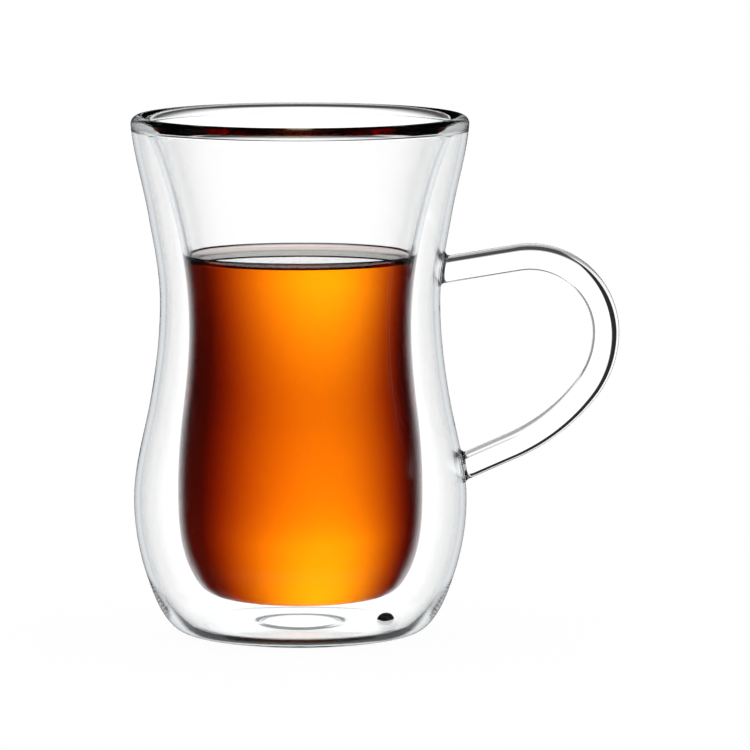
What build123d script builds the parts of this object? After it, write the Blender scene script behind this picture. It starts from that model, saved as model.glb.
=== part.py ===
from build123d import *
from math import cos, radians, sin
import os

# A double-walled tulip tea glass with a solid rod handle, filled with tea.
#
# Sizes are millimetres and degrees. The origin is the middle of the base, on the axis of
# the glass. +Z is up, and the handle points along +X. The glass is turned from profiles in
# the plane y = 0. Each profile is a list of stations (radius, height, lean), where the lean
# is how far the profile tilts outwards from straight up as it passes the station.

# Outside of the outer wall
height = 108.3
rim_radius = 35.0
rim_lean = 5.2
flare_hollow = 0.55      # how far the flare curves in from a straight line, rim to waist
flare_lean = 10.0
waist_radius = 29.0
waist_height = 69.7
flank_hollow = 0.7       # the same from waist to belly
flank_lean = -10.0
belly_radius = 34.5
belly_height = 28.6
cheek_radius = 31.75     # where the belly closes in towards the foot
cheek_height = 12.3
cheek_lean = 19.0
shoulder_radius = 26.6   # the rounded edge of the foot
shoulder_height = 2.4
shoulder_lean = 45.0
foot_radius = 19.5       # edge of the flat that the glass stands on
foot_lean = 80.0         # the outside leaves that flat at a slight angle, so it stands firm

# Outside of the inner wall, the bowl that holds the drink
rim_width = 3.0         # from the outside of the rim in to the bowl's outside below it
bowl_rim_lean = 26.0
bowl_flare_hollow = 2.1
bowl_flare_lean = 13.0
bowl_waist_radius = 23.0
bowl_waist_height = 64.3
bowl_flank_hollow = -0.1
bowl_flank_lean = -7.0
bowl_belly_radius = 25.4
bowl_belly_height = 29.6
bowl_heel_radius = 21.3
bowl_heel_height = 11.3
bowl_heel_lean = 35.0
bowl_floor_radius = 15.5  # edge of the nearly flat bottom
bowl_floor_height = 7.9
bowl_floor_lean = 82.0
bowl_bottom = 6.9

# Glass
wall = 1.4               # both walls
base_thickness = 1.8
bead_radius = 1.7       # rounding of the rim
lip_slope = 55.0         # how steeply the rim falls away on the drinking side
rim_solid = 3.0          # from the top of the rim down to where the air space rounds over
air_crown = 0.7          # height of that rounding
punt_radius = 9.1        # shallow round mark left under the base by the mould
punt_depth = 0.3

# Handle, one bent rod
rod_diameter = 5.5
handle_reach = 66.1      # from the axis to the outside of the bend
handle_top = 75.85
handle_foot = 32.3
bend_corners = [(2.13, 82.1), (-0.72, 55.65), (-10.35, 43.55)]  # (beyond the bend, height)
bend_radii = [15.75, 19.1, 39.0]
joint_fillet = 0.9
rod_start = 2.0          # the rod's path starts this far outside the bowl

# Drink
tea_level = 78.5
meniscus_rise = 1.5
meniscus_width = 1.7

# Seal in the hole that let the hot air out from between the walls
vent_offset = 18.0
vent_radius = 1.1
seal_head_radius = 1.85
seal_head_height = 1.6
seal_recess = 0.2        # the seal's underside lies this far above the base


def place(radius, height):
    return Vector(radius, 0, height)


def leaning(lean):
    return place(sin(radians(lean)), cos(radians(lean)))


def midway(low, high, hollow, lean):
    """The station half-way between two others, moved in towards the axis."""
    return ((low[0] + high[0]) / 2 - hollow, (low[1] + high[1]) / 2, lean)


def inset(stations, depths):
    """The stations of a parallel profile, each moved to the left by its own depth."""
    return [
        (radius - depth * cos(radians(lean)), height + depth * sin(radians(lean)), lean)
        for (radius, height, lean), depth in zip(stations, depths)
    ]


def profile(stations):
    """Smooth curves from station to station."""
    curves = []
    for low, high in zip(stations, stations[1:]):
        start, end = place(*low[:2]), place(*high[:2])
        turn = radians(high[2] - low[2])
        pull = (end - start).length / (3 * cos(turn / 4) ** 2)
        leave, arrive = leaning(low[2]) * pull, leaning(high[2]) * pull
        curves.append(Bezier(start, start + leave, end - arrive, end))
    return curves


def below(curves, height):
    """The parts of a profile's curves that lie below a height."""
    cuts = [split(c, bisect_by=Plane.XY.offset(height), keep=Keep.BOTTOM) for c in curves]
    return [cut.edge() for cut in cuts if cut]


def turned(*edges):
    """The solid of revolution of a closed profile, with its seam away from the handle."""
    return Rot(0, 0, 180) * revolve(make_face(edges), Axis.Z)


# Outer wall, from the foot to the rim: its outside and the side that faces the air space
bead = place(rim_radius - bead_radius, height - bead_radius)
rim_top = bead + leaning(0) * bead_radius
rim_edge = bead + leaning(90 + rim_lean) * bead_radius
air_top = height - rim_solid
foot = (foot_radius, 0, foot_lean)
shoulder = (shoulder_radius, shoulder_height, shoulder_lean)
cheek = (cheek_radius, cheek_height, cheek_lean)
belly = (belly_radius, belly_height, 0)
waist = (waist_radius, waist_height, 0)
rim = (rim_edge.X, rim_edge.Z, rim_lean)
flank = midway(belly, waist, flank_hollow, flank_lean)
flare = midway(waist, rim, flare_hollow, flare_lean)
outer_stations = [foot, shoulder, cheek, belly, flank, waist, flare, rim]
outside = profile(outer_stations)
air_floor_edge = (foot_radius, base_thickness, 90)
air_stations = inset(outer_stations[1:], [base_thickness] + [wall] * 6)
air_side = below(profile([air_floor_edge] + air_stations), air_top)

# Inner wall, from the bottom of the bowl to the rim: its outside and the drinking side
bowl_low = (0, bowl_bottom, 90)
bowl_floor = (bowl_floor_radius, bowl_floor_height, bowl_floor_lean)
bowl_heel = (bowl_heel_radius, bowl_heel_height, bowl_heel_lean)
bowl_belly = (bowl_belly_radius, bowl_belly_height, 0)
bowl_waist = (bowl_waist_radius, bowl_waist_height, 0)
bowl_rim = (rim_radius - rim_width, air_top, bowl_rim_lean)
bowl_flank = midway(bowl_belly, bowl_waist, bowl_flank_hollow, bowl_flank_lean)
bowl_flare = midway(bowl_waist, bowl_rim, bowl_flare_hollow, bowl_flare_lean)
bowl_stations = [bowl_low, bowl_floor, bowl_heel, bowl_belly]
bowl_stations += [bowl_flank, bowl_waist, bowl_flare, bowl_rim]
drink_stations = inset(bowl_stations, [wall] * len(bowl_stations))
bowl = profile(bowl_stations)
drink_side = profile(drink_stations)
lip_edge = bead + leaning(-lip_slope) * bead_radius
lip = profile([drink_stations[-1], (lip_edge.X, lip_edge.Z, 90 - lip_slope)])


def make_filled_glass():
    """The outside of the glass as a solid body, with its foot and the top of its rim."""
    underside = Polyline(
        place(0, height),
        place(0, punt_depth),
        place(punt_radius - punt_depth, punt_depth),
        place(punt_radius, 0),
        place(foot_radius, 0),
    )
    bead_arc = ThreePointArc(rim_edge, bead + leaning(45) * bead_radius, rim_top)
    return turned(underside, *outside, bead_arc, Line(rim_top, place(0, height)))


def make_air_space():
    """The sealed space between the two walls."""
    outer_top, bowl_top = air_side[-1] @ 1, bowl[-1] @ 1
    crown = (outer_top + bowl_top) / 2 + leaning(0) * air_crown
    floor = Polyline(bowl[0] @ 0, place(0, base_thickness), air_side[0] @ 0)
    return turned(floor, *air_side, ThreePointArc(outer_top, crown, bowl_top), *bowl)


def make_bowl_space():
    """The inside of the bowl, from its floor up through the mouth."""
    lip_turn = bead + leaning(-lip_slope / 2) * bead_radius
    clear = rim_top + leaning(0) * bead_radius
    mouth = Polyline(rim_top, clear, place(0, clear.Z), drink_side[0] @ 0)
    return turned(*drink_side, *lip, ThreePointArc(lip_edge, lip_turn, rim_top), mouth)


def make_rod():
    """The handle, running out from the space between the walls and back into it."""
    start = bowl_belly_radius + rod_start
    bend = handle_reach - rod_diameter / 2
    corners = [place(bend + beyond, level) for beyond, level in bend_corners]
    ends = [place(start, handle_top), place(start, handle_foot)]
    path = FilletPolyline(ends[0], *corners, ends[1], radius=bend_radii)
    section = Plane(origin=path @ 0, z_dir=path % 0) * Circle(rod_diameter / 2)
    return sweep(section, path)


def make_glass():
    filled = make_filled_glass()
    rod = make_rod()
    joined = filled + rod
    joined = fillet(new_edges(filled, rod, combined=joined), joint_fillet)
    vent = Pos(vent_offset, 0, 0) * Cylinder(vent_radius, 3 * base_thickness)
    return joined - make_air_space() - make_bowl_space() - vent


def make_tea():
    """The drink up to its level, climbing a little where it meets the wall."""
    side = below(drink_side, tea_level + meniscus_rise)
    contact = side[-1] @ 1
    level_edge = place(contact.X - meniscus_width, tea_level)
    climb = TangentArc(level_edge, contact, tangent=leaning(90))
    middle = Polyline(level_edge, place(0, tea_level), side[0] @ 0)
    return turned(*side, climb, middle)


def make_seal():
    """A soft plug: a stem that fills the vent hole and a domed head above the base."""
    head_edge = place(seal_head_radius, base_thickness)
    head_top = place(0, base_thickness + seal_head_height)
    stem = Polyline(
        head_top,
        place(0, seal_recess),
        place(vent_radius, seal_recess),
        place(vent_radius, base_thickness),
        head_edge,
    )
    dome = TangentArc(head_top, head_edge, tangent=leaning(90))
    return Pos(vent_offset, 0, 0) * turned(stem, dome)


parts = {
    "glass": make_glass(),
    "tea": make_tea(),
    "vent_seal": make_seal(),
}

os.makedirs("parts", exist_ok=True)
for name, solid in parts.items():
    solid.label = name
    export_step(solid, f"parts/{name}.step")
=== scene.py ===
from math import asin, atan2, ceil, cos, degrees, hypot, pi, radians, sin, tan

import bmesh
import bpy
import numpy as np
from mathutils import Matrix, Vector


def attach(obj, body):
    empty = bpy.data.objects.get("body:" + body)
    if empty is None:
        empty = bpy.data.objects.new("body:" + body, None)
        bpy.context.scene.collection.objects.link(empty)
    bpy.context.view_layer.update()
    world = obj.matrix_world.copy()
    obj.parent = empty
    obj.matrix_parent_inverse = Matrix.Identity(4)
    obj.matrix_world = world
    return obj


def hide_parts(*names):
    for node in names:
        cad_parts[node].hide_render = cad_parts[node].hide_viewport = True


# A double-walled tulip tea glass with a bent rod handle, filled with tea.
#
# Profiles are in millimetres and degrees, as stations (radius, height, lean), where the lean
# is how far the profile tilts outwards from straight up. Meshes are in metres.

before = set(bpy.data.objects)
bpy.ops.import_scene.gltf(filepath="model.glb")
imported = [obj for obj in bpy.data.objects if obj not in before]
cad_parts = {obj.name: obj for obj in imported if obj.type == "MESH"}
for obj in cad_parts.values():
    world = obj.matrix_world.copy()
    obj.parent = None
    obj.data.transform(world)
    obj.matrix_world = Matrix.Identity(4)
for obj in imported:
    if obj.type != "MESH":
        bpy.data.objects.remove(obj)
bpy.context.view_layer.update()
scene = bpy.context.scene
MM = 0.001

# Outside of the outer wall
height = 108.3
rim_radius = 35.0
bead_radius = 1.7
rim_lean = 5.2
foot = (19.5, 0, 80)
shoulder = (26.6, 2.4, 45)
cheek = (31.75, 12.3, 19)
belly = (34.5, 28.6, 0)
flank_hollow, flank_lean = 0.7, -10
waist = (29.0, 69.7, 0)
flare_hollow, flare_lean = 0.55, 10
punt_radius = 9.1
punt_depth = 0.3

# The bowl that holds the drink, its side towards the air space
bowl_low = (0, 6.9, 90)
bowl_floor = (15.5, 7.9, 82)
bowl_heel = (21.3, 11.3, 35)
bowl_belly = (25.4, 29.6, 0)
bowl_flank_hollow, bowl_flank_lean = -0.1, -7
bowl_waist = (23.0, 64.3, 0)
bowl_flare_hollow, bowl_flare_lean = 2.1, 13
bowl_rim = (32.0, 105.3, 26)
lip_slope = 55

# Glass
wall = 1.4
base_thickness = 1.8
air_crown = 0.7

# Handle
rod_radius = 2.75
rod_path = [(27.4, 75.85), (65.48, 82.1), (62.63, 55.65), (53.0, 43.55), (27.4, 32.3)]
bend_radii = [15.75, 19.1, 39.0]
joint_fillet = 0.9

# Drink
tea_level = 78.5
meniscus_rise = 1.5
meniscus_width = 1.7
tea_bite = 0.06          # how far the tea's side reaches into the glass, so no air shows

# Mesh fineness
columns = 192            # round the glass
outer_spacing = 1.1      # between the points of each profile
bowl_spacing = 1.4
tea_spacing = 1.2
flat_spacing = 1.5
joint_spacing = 0.1
rod_spacing = 0.9
bend_spacing = 0.7
arc_steps = 14
crown_steps = 8
same_point = 1e-4        # points nearer than this are one
window_cells = 16        # wall cells cut away each way where the rod joins
rod_sides = 4 * window_cells
rod_clearance = 1.2      # from a fillet's edge to the end of the plain rod
handle_side = 25 * MM    # the joints are further out than this
on_surface = 2e-6        # metres, how near a vertex of the outside is to its profile
hair = 1e-6
rod_rows = (0.34, 0.67, 1.0)            # shares of the way to the fillet
fillet_rows = 7
wall_rows = (0.14, 0.32, 0.53, 0.76)    # shares of the way to the window's edge


def leaning(lean):
    return np.array([sin(radians(lean)), cos(radians(lean))])


def midway(low, high, hollow, lean):
    return ((low[0] + high[0]) / 2 - hollow, (low[1] + high[1]) / 2, lean)


def inset(stations, depths):
    """The stations of a parallel profile, each moved to the left by its own depth."""
    return [
        (r - depth * cos(radians(lean)), z + depth * sin(radians(lean)), lean)
        for (r, z, lean), depth in zip(stations, depths)
    ]


def sweep_curve(low, high, spacing):
    """Points of the smooth curve between two stations, without its last."""
    start, end = np.array(low[:2], float), np.array(high[:2], float)
    turn = radians(high[2] - low[2])
    chord = np.linalg.norm(end - start)
    pull = chord / (3 * cos(turn / 4) ** 2)
    leave, arrive = start + leaning(low[2]) * pull, end - leaning(high[2]) * pull
    t = np.linspace(0, 1, max(2, ceil(chord / spacing)) + 1)[:-1, None]
    return (
        (1 - t) ** 3 * start
        + 3 * (1 - t) ** 2 * t * leave
        + 3 * (1 - t) * t**2 * arrive
        + t**3 * end
    )


def profile(stations, spacing):
    """Points along the smooth curves from station to station."""
    runs = [sweep_curve(a, b, spacing) for a, b in zip(stations, stations[1:])]
    return np.vstack(runs + [np.array([stations[-1][:2]])])


def arc(centre, radius, start, end, steps):
    """Points of an arc; angles in degrees from the direction of growing radius."""
    turns = np.radians(np.linspace(start, end, steps + 1))
    return np.array(centre) + radius * np.c_[np.cos(turns), np.sin(turns)]


def straight(start, end, spacing):
    steps = max(1, ceil(np.hypot(*np.subtract(end, start)) / spacing))
    return np.linspace(start, end, steps + 1)


def chain(*runs):
    """One run of points from several, without the points that repeat."""
    points = np.vstack(runs)
    apart = np.linalg.norm(np.diff(points, axis=0), axis=1) > same_point
    return points[np.r_[True, apart]]


def cut_below(points, level):
    """The points of a rising profile up to a height, ending exactly there."""
    kept = points[points[:, 1] < level]
    return np.vstack([kept, [[np.interp(level, points[:, 1], points[:, 0]), level]]])


# Profiles
bead = (rim_radius - bead_radius, height - bead_radius)
rim = (*(np.array(bead) + leaning(90 + rim_lean) * bead_radius), rim_lean)
flank = midway(belly, waist, flank_hollow, flank_lean)
flare = midway(waist, rim, flare_hollow, flare_lean)
outer_stations = [foot, shoulder, cheek, belly, flank, waist, flare, rim]
outside = profile(outer_stations, outer_spacing)
air_edge = (foot[0], base_thickness, 90)
air_stations = [air_edge] + inset(outer_stations[1:], [base_thickness] + [wall] * 6)
bowl_flank = midway(bowl_belly, bowl_waist, bowl_flank_hollow, bowl_flank_lean)
bowl_flare = midway(bowl_waist, bowl_rim, bowl_flare_hollow, bowl_flare_lean)
bowl_stations = [bowl_low, bowl_floor, bowl_heel, bowl_belly]
bowl_stations += [bowl_flank, bowl_waist, bowl_flare, bowl_rim]
drink_stations = inset(bowl_stations, [wall] * 8)


def outer_skin():
    """From the middle of the underside, up the outside, over the rim and down the bowl."""
    lip_edge = np.array(bead) + leaning(-lip_slope) * bead_radius
    lip_end = (*lip_edge, 90 - lip_slope)
    drink_side = profile(drink_stations + [lip_end], bowl_spacing)
    return chain(
        straight((0, punt_depth), (punt_radius - punt_depth, punt_depth), flat_spacing),
        [(punt_radius, 0)],
        straight((punt_radius, 0), foot[:2], flat_spacing),
        outside,
        arc(bead, bead_radius, -rim_lean, 90 + lip_slope, arc_steps),
        drink_side[::-1],
    )


def air_skin():
    """The air space between the walls, from the middle of its floor round to the bowl."""
    top = bowl_rim[1]
    wall_side = cut_below(profile(air_stations, bowl_spacing), top)
    outer_top, bowl_top = wall_side[-1], np.array(bowl_rim[:2])
    half = np.linalg.norm(outer_top - bowl_top) / 2
    bow = (half**2 + air_crown**2) / (2 * air_crown)
    half_angle = degrees(asin(half / bow))
    centre = (outer_top + bowl_top) / 2 - (0, bow - air_crown)
    return chain(
        straight((0, base_thickness), air_edge[:2], flat_spacing),
        wall_side,
        arc(centre, bow, 90 - half_angle, 90 + half_angle, crown_steps),
        profile(bowl_stations, bowl_spacing)[::-1],
    )


def tea_skin():
    """The drink, from the bottom of the bowl up to where it climbs the wall."""
    side = profile(inset(bowl_stations, [wall - tea_bite] * 8), tea_spacing)
    side = cut_below(side, tea_level + meniscus_rise)
    climb = (meniscus_width**2 + meniscus_rise**2) / (2 * meniscus_rise)
    reach = degrees(asin(meniscus_width / climb))
    centre = (side[-1][0] - meniscus_width, tea_level + climb)
    surface = arc(centre, climb, reach - 90, -90, arc_steps)
    return chain(side, surface, straight(surface[-1], (0, tea_level), flat_spacing))


# Geometry Nodes


def node(tree, kind, feeds=(), **settings):
    """A new node, with its settings and what goes into its inputs."""
    made = tree.nodes.new(kind)
    for name, value in settings.items():
        setattr(made, name, value)
    for socket, value in dict(feeds).items():
        if isinstance(value, bpy.types.NodeSocket):
            tree.links.new(value, made.inputs[socket])
        else:
            made.inputs[socket].default_value = value
    return made


def maths(tree, operation, *values):
    return node(tree, "ShaderNodeMath", enumerate(values), operation=operation).outputs[0]


def new_tree(name, sizes):
    """A Geometry Nodes tree with named inputs. Returns it, its inputs and its end."""
    tree = bpy.data.node_groups.new(name, "GeometryNodeTree")
    for label, kind in sizes.items():
        tree.interface.new_socket(label, in_out="INPUT", socket_type="NodeSocket" + kind)
    tree.interface.new_socket("Mesh", in_out="OUTPUT", socket_type="NodeSocketGeometry")
    return tree, tree.nodes.new("NodeGroupInput").outputs


def end_tree(tree, mesh, finish):
    """Smooth shading, Realize Instances and Set Material, which every tree ends in."""
    smooth = node(tree, "GeometryNodeSetShadeSmooth", {"Geometry": mesh})
    real = node(tree, "GeometryNodeRealizeInstances", {"Geometry": smooth.outputs[0]})
    feeds = {"Geometry": real.outputs[0], "Material": finish}
    finished = node(tree, "GeometryNodeSetMaterial", feeds)
    node(tree, "NodeGroupOutput", {0: finished.outputs[0]})


def turning_tree():
    """Turns a profile round the Z axis: a grid whose rows are the profile's points."""
    sizes = {"Profile": "Object", "Columns": "Int", "Weld": "Float", "Finish": "Material"}
    tree, given = new_tree("turned_glass", sizes)
    info = node(tree, "GeometryNodeObjectInfo", {"Object": given["Profile"]})
    curve = info.outputs["Geometry"]
    size = node(
        tree, "GeometryNodeAttributeDomainSize", {"Geometry": curve}, component="CURVE"
    )
    across = maths(tree, "ADD", given["Columns"], 1)
    grid = node(
        tree,
        "GeometryNodeMeshGrid",
        {"Vertices X": size.outputs["Point Count"], "Vertices Y": across},
    )
    index = node(tree, "GeometryNodeInputIndex").outputs[0]
    row = maths(tree, "FLOOR", maths(tree, "DIVIDE", index, across))
    column = maths(tree, "SUBTRACT", index, maths(tree, "MULTIPLY", row, across))
    turn = maths(tree, "DIVIDE", maths(tree, "MULTIPLY", column, 2 * pi), given["Columns"])
    place = node(tree, "GeometryNodeInputPosition").outputs[0]
    point = node(
        tree,
        "GeometryNodeSampleIndex",
        {"Geometry": curve, "Value": place, "Index": row},
        data_type="FLOAT_VECTOR",
        domain="POINT",
    )
    parts = node(tree, "ShaderNodeSeparateXYZ", {0: point.outputs["Value"]}).outputs
    spot = node(
        tree,
        "ShaderNodeCombineXYZ",
        {
            "X": maths(tree, "MULTIPLY", parts["X"], maths(tree, "COSINE", turn)),
            "Y": maths(tree, "MULTIPLY", parts["X"], maths(tree, "SINE", turn)),
            "Z": parts["Z"],
        },
    ).outputs[0]
    feeds = {"Geometry": grid.outputs["Mesh"], "Position": spot}
    placed = node(tree, "GeometryNodeSetPosition", feeds).outputs[0]
    feeds = {"Geometry": placed, "Distance": given["Weld"]}
    welded = node(tree, "GeometryNodeMergeByDistance", feeds).outputs[0]
    end_tree(tree, welded, given["Finish"])
    return tree


def rod_tree():
    """A round rod along a path, open at its ends."""
    sizes = {"Path": "Object", "Rod radius": "Float", "Sides": "Int", "Finish": "Material"}
    tree, given = new_tree("bent_rod", sizes)
    path = node(tree, "GeometryNodeObjectInfo", {"Object": given["Path"]})
    ring = node(
        tree,
        "GeometryNodeCurvePrimitiveCircle",
        {"Resolution": given["Sides"], "Radius": given["Rod radius"]},
    )
    feeds = {"Curve": path.outputs["Geometry"], "Profile Curve": ring.outputs["Curve"]}
    rod = node(tree, "GeometryNodeCurveToMesh", feeds)
    end_tree(tree, rod.outputs["Mesh"], given["Finish"])
    return tree


def guide(name, points):
    """A curve of straight runs through points (radius, height), for a tree to read."""
    curve = bpy.data.curves.new(name, "CURVE")
    curve.dimensions = "3D"
    spline = curve.splines.new("POLY")
    spline.points.add(len(points) - 1)
    for spot, (r, z) in zip(spline.points, points):
        spot.co = (r * MM, 0, z * MM, 1)
    holder = bpy.data.objects.new(name, curve)
    scene.collection.objects.link(holder)
    return holder


def grow(name, tree, guide_name, points, **values):
    """The plain mesh that a tree makes from a guide curve."""
    drawn = guide(name + "_guide", points)
    holder = bpy.data.objects.new(name, bpy.data.meshes.new(name + "_start"))
    scene.collection.objects.link(holder)
    modifier = holder.modifiers.new(name, "NODES")
    modifier.node_group = tree
    values[guide_name] = drawn
    for socket in tree.interface.items_tree:
        if socket.in_out == "INPUT":
            modifier[socket.identifier] = values[socket.name.replace(" ", "_")]
    graph = bpy.context.evaluated_depsgraph_get()
    mesh = bpy.data.meshes.new_from_object(holder.evaluated_get(graph))
    bpy.data.objects.remove(holder)
    bpy.data.objects.remove(drawn)
    return mesh


# Finishes


def new_finish(name):
    """A material with its shader, and Object coordinates for its patterns."""
    finish = bpy.data.materials.new(name)
    finish.use_nodes = True
    tree = finish.node_tree
    shader = tree.nodes["Principled BSDF"]
    coordinates = node(tree, "ShaderNodeTexCoord").outputs["Object"]
    return finish, tree, shader, coordinates


def noise(tree, coordinates, scale, detail=2.0):
    feeds = {"Vector": coordinates, "Scale": scale, "Detail": detail}
    return node(tree, "ShaderNodeTexNoise", feeds).outputs["Fac"]


def spread(tree, value, low, high):
    """A 0 to 1 pattern spread over the range from low to high."""
    feeds = {"Value": value, "To Min": low, "To Max": high}
    return node(tree, "ShaderNodeMapRange", feeds).outputs["Result"]


def clear_glass_finish():
    """Blown and fire-polished: very smooth, with a faint slow waviness."""
    finish, tree, shader, spots = new_finish("clear_glass")
    shader.inputs["Base Color"].default_value = (1, 1, 1, 1)
    shader.inputs["Transmission Weight"].default_value = 1
    shader.inputs["IOR"].default_value = 1.47
    polish = spread(tree, noise(tree, spots, 90), 0.0, 0.002)
    tree.links.new(polish, shader.inputs["Roughness"])
    wave = noise(tree, spots, 55, 1.0)
    bump = node(tree, "ShaderNodeBump", {"Height": wave, "Strength": 0.5, "Distance": 0.00006})
    tree.links.new(bump.outputs[0], shader.inputs["Normal"])
    return finish


def tea_finish():
    """Clear amber, coloured by its depth, with a still surface."""
    finish, tree, shader, spots = new_finish("tea")
    shader.inputs["Base Color"].default_value = (1, 1, 1, 1)
    shader.inputs["Transmission Weight"].default_value = 1
    shader.inputs["IOR"].default_value = 1.333
    still = spread(tree, noise(tree, spots, 120), 0.0, 0.002)
    tree.links.new(still, shader.inputs["Roughness"])
    ripple = noise(tree, spots, 70, 1.0)
    feeds = {"Height": ripple, "Strength": 0.3, "Distance": 0.00003}
    bump = node(tree, "ShaderNodeBump", feeds)
    tree.links.new(bump.outputs[0], shader.inputs["Normal"])
    body = node(
        tree,
        "ShaderNodeVolumeAbsorption",
        {"Color": (0.978, 0.75, 0.0, 1), "Density": 160.0},
    )
    end = tree.nodes["Material Output"]
    tree.links.new(body.outputs[0], end.inputs["Volume"])
    return finish


def painted_dark_seal_finish():
    """Painted near black, standing in for the dark look that refraction through the glass gives
    the vent; faintly mottled and grained.
    """
    finish, tree, shader, spots = new_finish("dark_silicone")
    mottle = noise(tree, spots, 900, 4.0)
    tint = node(tree, "ShaderNodeValToRGB", {"Fac": mottle})
    # painted darkness: these near-black colours stand in for the dark that refraction gives the
    # vent seal; the mottle between them is the material's own
    tint.color_ramp.elements[0].color = (0.020, 0.020, 0.022, 1)
    tint.color_ramp.elements[1].color = (0.045, 0.044, 0.046, 1)
    tree.links.new(tint.outputs["Color"], shader.inputs["Base Color"])
    tree.links.new(spread(tree, mottle, 0.5, 0.75), shader.inputs["Roughness"])
    grain = noise(tree, spots, 3000, 3.0)
    feeds = {"Height": grain, "Strength": 0.4, "Distance": 0.00004}
    bump = node(tree, "ShaderNodeBump", feeds)
    tree.links.new(bump.outputs[0], shader.inputs["Normal"])
    return finish


# The rod's joints with the outer wall


def wall_radius(z):
    """Radius of the outside at a height, both in metres."""
    return np.interp(z / MM, fine_outside[:, 1], fine_outside[:, 0]) * MM


def wall_lean(z):
    step = 0.2 * MM
    return atan2(wall_radius(z + step) - wall_radius(z - step), 2 * step)


fine_outside = profile(outer_stations, joint_spacing)


class Joint:
    """Where the rod meets the wall: a start on the rod's axis and its way outwards."""

    def __init__(self, start, towards):
        self.start = Vector((start[0], 0, start[1])) * MM
        self.way = (Vector((towards[0], 0, towards[1])) * MM - self.start).normalized()
        self.side = Vector((0, 1, 0))
        self.up = self.way.cross(self.side)

    def angle_of(self, spot):
        from_axis = spot - self.start
        return atan2(from_axis.dot(self.up), from_axis.dot(self.side))

    def outwards(self, angle):
        return self.side * cos(angle) + self.up * sin(angle)

    def fillet_at(self, angle):
        """How far along the rod the fillet ends, and its centre and foot on the wall."""
        ball = joint_fillet * MM
        off_axis = self.start + self.outwards(angle) * (rod_radius * MM + ball)
        near, far = -6 * MM, 18 * MM
        for _ in range(40):    # halvings, until the ball rests on the wall
            along = (near + far) / 2
            centre = off_axis + self.way * along
            lean = wall_lean(centre.z)
            gap = (hypot(centre.x, centre.y) - wall_radius(centre.z)) * cos(lean)
            near, far = (near, along) if gap > ball else (along, far)
        turn = atan2(centre.y, centre.x)
        foot_z = centre.z + ball * sin(lean)
        return along, centre, (turn, foot_z)


def on_wall(turn, z):
    r = wall_radius(z)
    return Vector((r * cos(turn), r * sin(turn), z))


def loops_of(mesh):
    """The open edges of a mesh as ordered loops of vertices."""
    edges = {e for e in mesh.edges if e.is_boundary}
    loops = []
    while edges:
        edge = edges.pop()
        loop = [edge.verts[0], edge.verts[1]]
        while True:
            onward = [e for e in loop[-1].link_edges if e in edges]
            if not onward:
                break
            edges.remove(onward[0])
            loop.append(onward[0].other_vert(loop[-1]))
        loops.append(loop[:-1] if loop[-1] is loop[0] else loop)
    return loops


def off_wall(vertex):
    return abs(hypot(vertex.co.x, vertex.co.y) - wall_radius(vertex.co.z))


def cut_window(mesh, centre_z):
    """Takes away the wall's cells round a joint, which leaves a square window."""
    half = window_cells // 2
    outer = [v for v in mesh.verts if v.co.x > handle_side and abs(v.co.y) < hair]
    levels = sorted(v.co.z for v in outer if off_wall(v) < on_surface)
    middle = min(range(len(levels)), key=lambda i: abs(levels[i] - centre_z))
    low, high = levels[middle - half], levels[middle + half]
    edge = 2 * pi / columns * half
    inside = [
        v
        for v in mesh.verts
        if low + hair < v.co.z < high - hair
        and v.co.x > handle_side
        and abs(atan2(v.co.y, v.co.x)) < edge - 1e-4
        and off_wall(v) < on_surface
    ]
    bmesh.ops.delete(mesh, geom=inside, context="VERTS")


def stitch(mesh, ring_a, ring_b):
    """Faces between two rings of as many vertices, in step."""
    count = len(ring_a)
    for i in range(count):
        j = (i + 1) % count
        face = mesh.faces.new((ring_a[i], ring_a[j], ring_b[j], ring_b[i]))
        face.smooth = True


def fuse(mesh, joint, rod_end, window):
    """Rings from the rod's end, over the fillet and out to the window's edge."""
    rod_end = sorted(rod_end, key=lambda v: joint.angle_of(v.co))
    window = sorted(window, key=lambda v: joint.angle_of(v.co))

    def mismatch(shift):
        pairs = zip(rod_end, window[shift:] + window[:shift])
        turns = [joint.angle_of(a.co) - joint.angle_of(b.co) for a, b in pairs]
        return sum(abs(sin(t / 2)) for t in turns)

    shift = min(range(-2, 3), key=mismatch)
    window = window[shift:] + window[:shift]
    spots = []
    for end, edge in zip(rod_end, window):
        angle = joint.angle_of(end.co)
        along, centre, (turn, foot_z) = joint.fillet_at(angle)
        rod_side = joint.start + joint.way * along + joint.outwards(angle) * rod_radius * MM
        foot_spot = on_wall(turn, foot_z)
        row = [end.co.lerp(rod_side, share) for share in rod_rows]
        to_rod, to_wall = rod_side - centre, foot_spot - centre
        sweep = to_rod.angle(to_wall)
        for step in range(1, fillet_rows):
            share = step / fillet_rows
            arm = to_rod * sin((1 - share) * sweep) + to_wall * sin(share * sweep)
            row.append(centre + arm / sin(sweep))
        row.append(foot_spot)
        edge_turn = atan2(edge.co.y, edge.co.x)
        for share in wall_rows:
            level = foot_z + (edge.co.z - foot_z) * share
            row.append(on_wall(turn + (edge_turn - turn) * share, level))
        spots.append(row)
    rings = [rod_end]
    for step in range(len(spots[0])):
        rings.append([mesh.verts.new(row[step]) for row in spots])
    rings.append(window)
    for ring_a, ring_b in zip(rings, rings[1:]):
        stitch(mesh, ring_a, ring_b)


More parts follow.
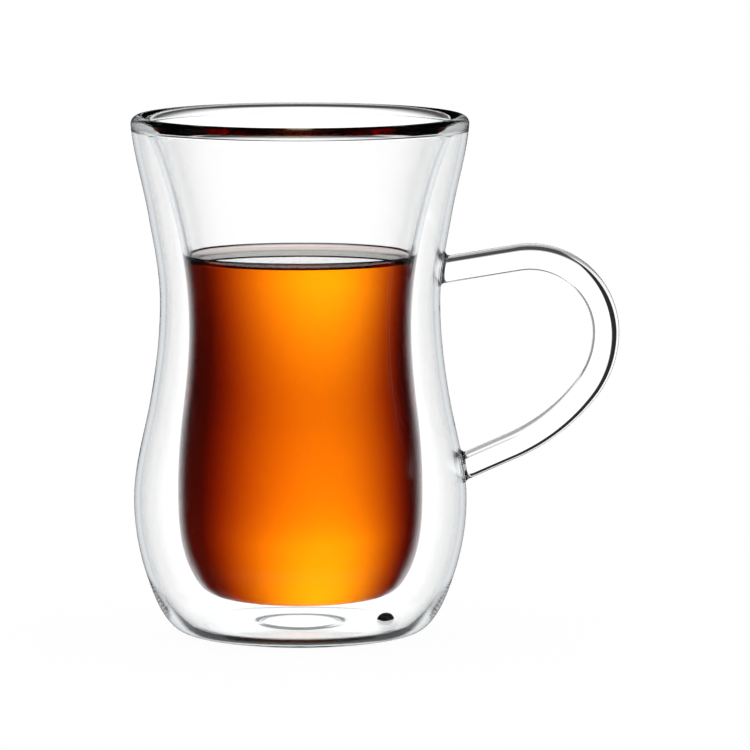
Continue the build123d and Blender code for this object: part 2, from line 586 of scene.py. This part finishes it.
def rod_line(top_gap, foot_gap):
    """Points along the rod's bent path, short of the wall by a gap at each end."""
    corners = [np.array(p) for p in rod_path]

    def unit(a, b):
        return (b - a) / np.linalg.norm(b - a)

    points = [corners[0] + unit(corners[0], corners[1]) * top_gap]
    for before, corner, after, radius in zip(corners, corners[1:], corners[2:], bend_radii):
        come, go = unit(before, corner), unit(corner, after)
        turn = np.arccos(come @ go)
        first = corner - come * radius * tan(turn / 2)
        left = -np.sign(come[0] * go[1] - come[1] * go[0])
        centre = first - left * radius * np.array([-come[1], come[0]])
        arm = first - centre
        for t in np.linspace(0, -left * turn, ceil(turn * radius / bend_spacing) + 1):
            swing = np.array([[cos(t), -sin(t)], [sin(t), cos(t)]])
            points.append(centre + swing @ arm)
    points.append(corners[-1] + unit(corners[-1], corners[-2]) * foot_gap)
    return chain(*[straight(a, b, rod_spacing) for a, b in zip(points, points[1:])])


def face_outwards(mesh):
    bmesh.ops.recalc_face_normals(mesh, faces=mesh.faces)
    if mesh.calc_volume(signed=True) < 0:
        bmesh.ops.reverse_faces(mesh, faces=mesh.faces)


def make_glass(finish):
    """Both walls with the fused handle, as one closed skin, and the air space inside it."""
    turned, rod = turning_tree(), rod_tree()
    shared = {"Columns": columns, "Weld": 0.001 * MM, "Finish": finish}
    outer = grow("outer_skin", turned, "Profile", outer_skin(), **shared)
    air = grow("air_skin", turned, "Profile", air_skin(), **shared)
    joints = [Joint(rod_path[0], rod_path[1]), Joint(rod_path[-1], rod_path[-2])]
    angles = [2 * pi * i / rod_sides for i in range(rod_sides)]
    gaps = [max(j.fillet_at(a)[0] for a in angles) / MM + rod_clearance for j in joints]
    handle = grow(
        "handle_rod",
        rod,
        "Path",
        rod_line(*gaps),
        Rod_radius=rod_radius * MM,
        Sides=rod_sides,
        Finish=finish,
    )
    mesh = bmesh.new()
    mesh.from_mesh(outer)
    for joint in joints:
        middle = joint.start + joint.way * joint.fillet_at(0)[0]
        cut_window(mesh, middle.z)
    mesh.from_mesh(handle)
    mesh.verts.ensure_lookup_table()
    loops = [loop for loop in loops_of(mesh) if len(loop) == rod_sides]

    def middle_of(loop):
        return sum((v.co for v in loop), Vector()) / len(loop)

    loops.sort(key=lambda loop: -middle_of(loop).z)
    for joint, pair in zip(joints, (loops[:2], loops[2:])):
        window, rod_end = sorted(pair, key=lambda loop: middle_of(loop).x)
        fuse(mesh, joint, rod_end, window)
    face_outwards(mesh)
    space = bmesh.new()
    space.from_mesh(air)
    face_outwards(space)
    bmesh.ops.reverse_faces(space, faces=space.faces)
    space.to_mesh(air)
    mesh.from_mesh(air)
    result = bpy.data.meshes.new("glass")
    mesh.to_mesh(result)
    return result


def make_turned(name, points, finish):
    shared = {"Columns": columns, "Weld": 0.001 * MM, "Finish": finish}
    made = grow(name, turning_tree(), "Profile", points, **shared)
    mesh = bmesh.new()
    mesh.from_mesh(made)
    face_outwards(mesh)
    mesh.to_mesh(made)
    return made


def add_piece(name, mesh, finish, slot, *nodes):
    mesh.materials.clear()
    mesh.materials.append(finish)
    mesh.shade_smooth()
    piece = bpy.data.objects.new(name, mesh)
    scene.collection.objects.link(piece)
    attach(piece, "root")
    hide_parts(*nodes)
    return piece


glass_finish = clear_glass_finish()
drink_finish = tea_finish()
glass_mesh = make_glass(glass_finish)
tea_mesh = make_turned("tea_fill", tea_skin(), drink_finish)
add_piece("blown_glass", glass_mesh, glass_finish, "clear_glass", "glass")
add_piece("tea_fill", tea_mesh, drink_finish, "tea", "tea")

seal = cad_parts["vent_seal"]
seal.data.materials.clear()
# the seal gets the painted near-black finish, which stands in for the darkness that refraction
# gives it
seal.data.materials.append(painted_dark_seal_finish())


# Studio


camera_place = (0.0155, -1.72, 0.246)
camera_tilt = 6.36        # degrees down from level
lens = 400.8


def set_camera():
    """Level with the handle's plane, a little above the glass, with a long lens."""
    camera = bpy.data.cameras.new("camera")
    camera.lens, camera.sensor_width = lens, 36
    camera.clip_end = 50
    holder = bpy.data.objects.new("camera", camera)
    holder.location = camera_place
    holder.rotation_euler = (radians(90 - camera_tilt), 0, 0)
    scene.collection.objects.link(holder)
    scene.camera = holder


def band(tree, value, low, high, soft):
    """1 between low and high, with soft edges of that width outside them."""
    rise = node(
        tree,
        "ShaderNodeMapRange",
        {"Value": value, "From Min": low - soft, "From Max": low},
        interpolation_type="SMOOTHSTEP",
    )
    fall = node(
        tree,
        "ShaderNodeMapRange",
        {"Value": value, "From Min": high, "From Max": high + soft, "To Min": 1, "To Max": 0},
        interpolation_type="SMOOTHSTEP",
    )
    return maths(tree, "MULTIPLY", rise.outputs["Result"], fall.outputs["Result"])


backdrop_light = 1.35     # the white backdrop, as the glass shows it
wall_light = 1.1          # the same, thrown back inside the walls of the glass
drink_light = 2.35        # the same, as the tea shows it, at its brightest
drink_middle = -5         # degrees from straight behind the glass to that brightest place
drink_width = 14.6        # degrees over which it fades to either side
room_light = 0.004        # what the polished surfaces reflect of the rest of the room
ring_strength = 0.98      # how dark the flag is that the handle shows
chain_light = 0.95        # what comes out low down after many mirrorings in the glass
cool_tint = (0.95, 0.98, 1)

# How many surfaces light has gone through, and how often it was mirrored
rod_passes = 3            # fewer than this, through the handle alone
few_passes = 5            # fewer than this, not through the bowl's far side
bowl_passes = 8           # the empty bowl, front to back
drink_passes = 8.5        # more than this, through the tea
many_bounces = 2.5

# Directions in degrees: turn from straight behind the glass, rise from level. A ramp is
# two places, each (rise, share).
clear_ramp = ((-30, 0.8), (-12, 1))
drink_dim = ((-17, 0.4), (-1, 1))
drink_low_dim = ((-60, 0.12), (-20, 1))
drink_warmth = ((-20, 0), (-14, 1))
drink_least = 0.05        # how far the backdrop fades at the sides
drink_green = 0.65        # green against the square of red in the fading light
ring_middle = (3, 7)      # turn and rise
ring_reach = (25, 42)
ring_side = (-90, -15)
all_round = (-181, 181)

# Dark flags that only the clear glass shows: turn and its soft edge, rise and its soft
# edge, and how dark.
dark_flags = [
    (all_round, 1, (52, 95), 10, 0.7),
    ((-60, 60), 10, (-56, -39), 4, 0.55),
    ((-14, 7), 6, (-42, -28), 7, 0.93),
    ((46, 64), 7, (-30, 30), 5, 0.72),
]


def ramped(tree, value, low, high):
    """A straight ramp between two places, each (value, result), and level beyond them."""
    ends = {"From Min": low[0], "From Max": high[0], "To Min": low[1], "To Max": high[1]}
    return node(tree, "ShaderNodeMapRange", {"Value": value, **ends}).outputs["Result"]


def share_of(tree, *values):
    """The product of several shares."""
    product = values[0]
    for value in values[1:]:
        product = maths(tree, "MULTIPLY", product, value)
    return product


def rest_of(tree, value):
    return maths(tree, "SUBTRACT", 1, value)


def mixed(tree, share, first, second):
    """A colour that goes from the first to the second as the share grows."""
    made = node(tree, "ShaderNodeMix", data_type="RGBA")
    for socket, value in zip(("Factor_Float", "A_Color", "B_Color"), (share, first, second)):
        spot = next(s for s in made.inputs if s.identifier == socket)
        if isinstance(value, bpy.types.NodeSocket):
            tree.links.new(value, spot)
        else:
            spot.default_value = value
    return next(s for s in made.outputs if s.identifier == "Result_Color")


def drink_colour(tree, turn, rise):
    """The backdrop behind the tea: a warm fall-off to the sides, and dimmer low down."""
    away = maths(tree, "DIVIDE", maths(tree, "SUBTRACT", turn, drink_middle), drink_width)
    falling = maths(tree, "EXPONENT", share_of(tree, away, away, -0.5))
    behind = share_of(tree, band(tree, turn, -60, 60, 20), band(tree, rise, -14, 95, 3))
    kept = maths(tree, "MAXIMUM", falling, drink_least)
    lost = share_of(tree, behind, rest_of(tree, kept))
    dim = share_of(tree, ramped(tree, rise, *drink_dim), ramped(tree, rise, *drink_low_dim))
    red = share_of(tree, dim, rest_of(tree, lost), drink_light)
    warmth = ramped(tree, rise, *drink_warmth)
    loss = share_of(tree, warmth, rest_of(tree, share_of(tree, red, drink_green)))
    green = share_of(tree, red, rest_of(tree, loss))
    return node(tree, "ShaderNodeCombineColor", {0: red, 1: green, 2: green}).outputs[0]


def ring_flag(tree, turn, rise):
    """The dark flag that the handle shows: the left side of a ring."""
    across = maths(tree, "SUBTRACT", turn, ring_middle[0])
    up = maths(tree, "SUBTRACT", rise, ring_middle[1])
    squares = maths(tree, "ADD", share_of(tree, across, across), share_of(tree, up, up))
    ring = band(tree, maths(tree, "SQRT", squares), *ring_reach, 5)
    return share_of(tree, ring, band(tree, turn, *ring_side, 4), ring_strength)


def set_world():
    """A white studio all round, as the camera and the matt surfaces see it.

    Light that has passed through the glass, gone through the tea or been thrown back by a
    polished surface has its own strength and colour.
    """
    world = bpy.data.worlds.new("studio")
    world.use_nodes = True
    scene.world = world
    tree = world.node_tree
    tree.nodes.clear()
    way = node(tree, "ShaderNodeTexCoord").outputs["Generated"]
    parts = node(tree, "ShaderNodeSeparateXYZ", {0: way}).outputs
    turn = maths(tree, "DEGREES", maths(tree, "ARCTAN2", parts["X"], parts["Y"]))
    rise = maths(tree, "DEGREES", maths(tree, "ARCSINE", parts["Z"]))
    path = node(tree, "ShaderNodeLightPath").outputs
    passes = path["Transmission Depth"]
    rod_only = maths(tree, "LESS_THAN", passes, rod_passes)
    dark = share_of(tree, ring_flag(tree, turn, rise), rod_only)
    for turns, turn_soft, rises, rise_soft, strength in dark_flags:
        aside = band(tree, turn, *turns, turn_soft)
        flag = share_of(tree, aside, band(tree, rise, *rises, rise_soft), strength)
        dark = maths(tree, "MAXIMUM", dark, flag)
    clear = share_of(tree, rest_of(tree, dark), ramped(tree, rise, *clear_ramp), backdrop_light)
    through_drink = maths(tree, "GREATER_THAN", passes, drink_passes)
    seen = mixed(tree, through_drink, clear, drink_colour(tree, turn, rise))
    bounces = path["Glossy Depth"]
    ahead = share_of(tree, band(tree, turn, -20, 20, 26), band(tree, rise, -22, 75, 8))
    over_tea = maths(tree, "COMPARE", passes, bowl_passes, 0.5)
    ahead = share_of(tree, ahead, maths(tree, "ADD", wall_light, over_tea))
    many = maths(tree, "GREATER_THAN", bounces, many_bounces)
    few = maths(tree, "LESS_THAN", passes, few_passes)
    many = share_of(tree, many, chain_light, few, band(tree, rise, -90, 4, 6))
    ahead = maths(tree, "MAXIMUM", ahead, many)
    ahead = share_of(tree, ahead, maths(tree, "GREATER_THAN", passes, 0.5))
    thrown_back = maths(tree, "MAXIMUM", ahead, room_light)
    tinted = [share_of(tree, thrown_back, share) for share in cool_tint]
    cool = node(tree, "ShaderNodeCombineColor", enumerate(tinted)).outputs[0]
    seen = mixed(tree, maths(tree, "MINIMUM", bounces, 1), seen, cool)
    plain = maths(tree, "MAXIMUM", path["Is Camera Ray"], path["Is Diffuse Ray"])
    seen = mixed(tree, plain, seen, (1, 1, 1, 1))
    light = node(tree, "ShaderNodeBackground", {"Color": seen, "Strength": 1})
    node(tree, "ShaderNodeOutputWorld", {"Surface": light.outputs[0]})


floor_width = 12
floor_glow = 0.97         # share of plain white that the camera sees, the rest is shaded


def set_floor():
    """A pale floor, white to the camera but for the soft shadow under the glass."""
    finish, tree, shader, spots = new_finish("pale_floor")
    shader.inputs["Base Color"].default_value = (0.98, 0.98, 0.98, 1)
    shader.inputs["Roughness"].default_value = 0.9
    glow = node(tree, "ShaderNodeEmission", {"Color": (1, 1, 1, 1), "Strength": 1})
    path = node(tree, "ShaderNodeLightPath").outputs
    share = maths(tree, "MULTIPLY", path["Is Camera Ray"], floor_glow)
    mix = node(
        tree, "ShaderNodeMixShader", {0: share, 1: shader.outputs[0], 2: glow.outputs[0]}
    )
    tree.links.new(mix.outputs[0], tree.nodes["Material Output"].inputs["Surface"])
    bpy.ops.mesh.primitive_plane_add(size=floor_width, location=(0, 0, -0.05 * MM))
    floor = bpy.context.object
    floor.name = "floor"
    floor.data.materials.append(finish)
    floor.visible_glossy = False
    floor.visible_transmission = False


set_camera()
set_world()
set_floor()
scene.view_settings.view_transform = "Standard"
scene.cycles.max_bounces = 96
scene.cycles.transmission_bounces = 40
scene.cycles.glossy_bounces = 80
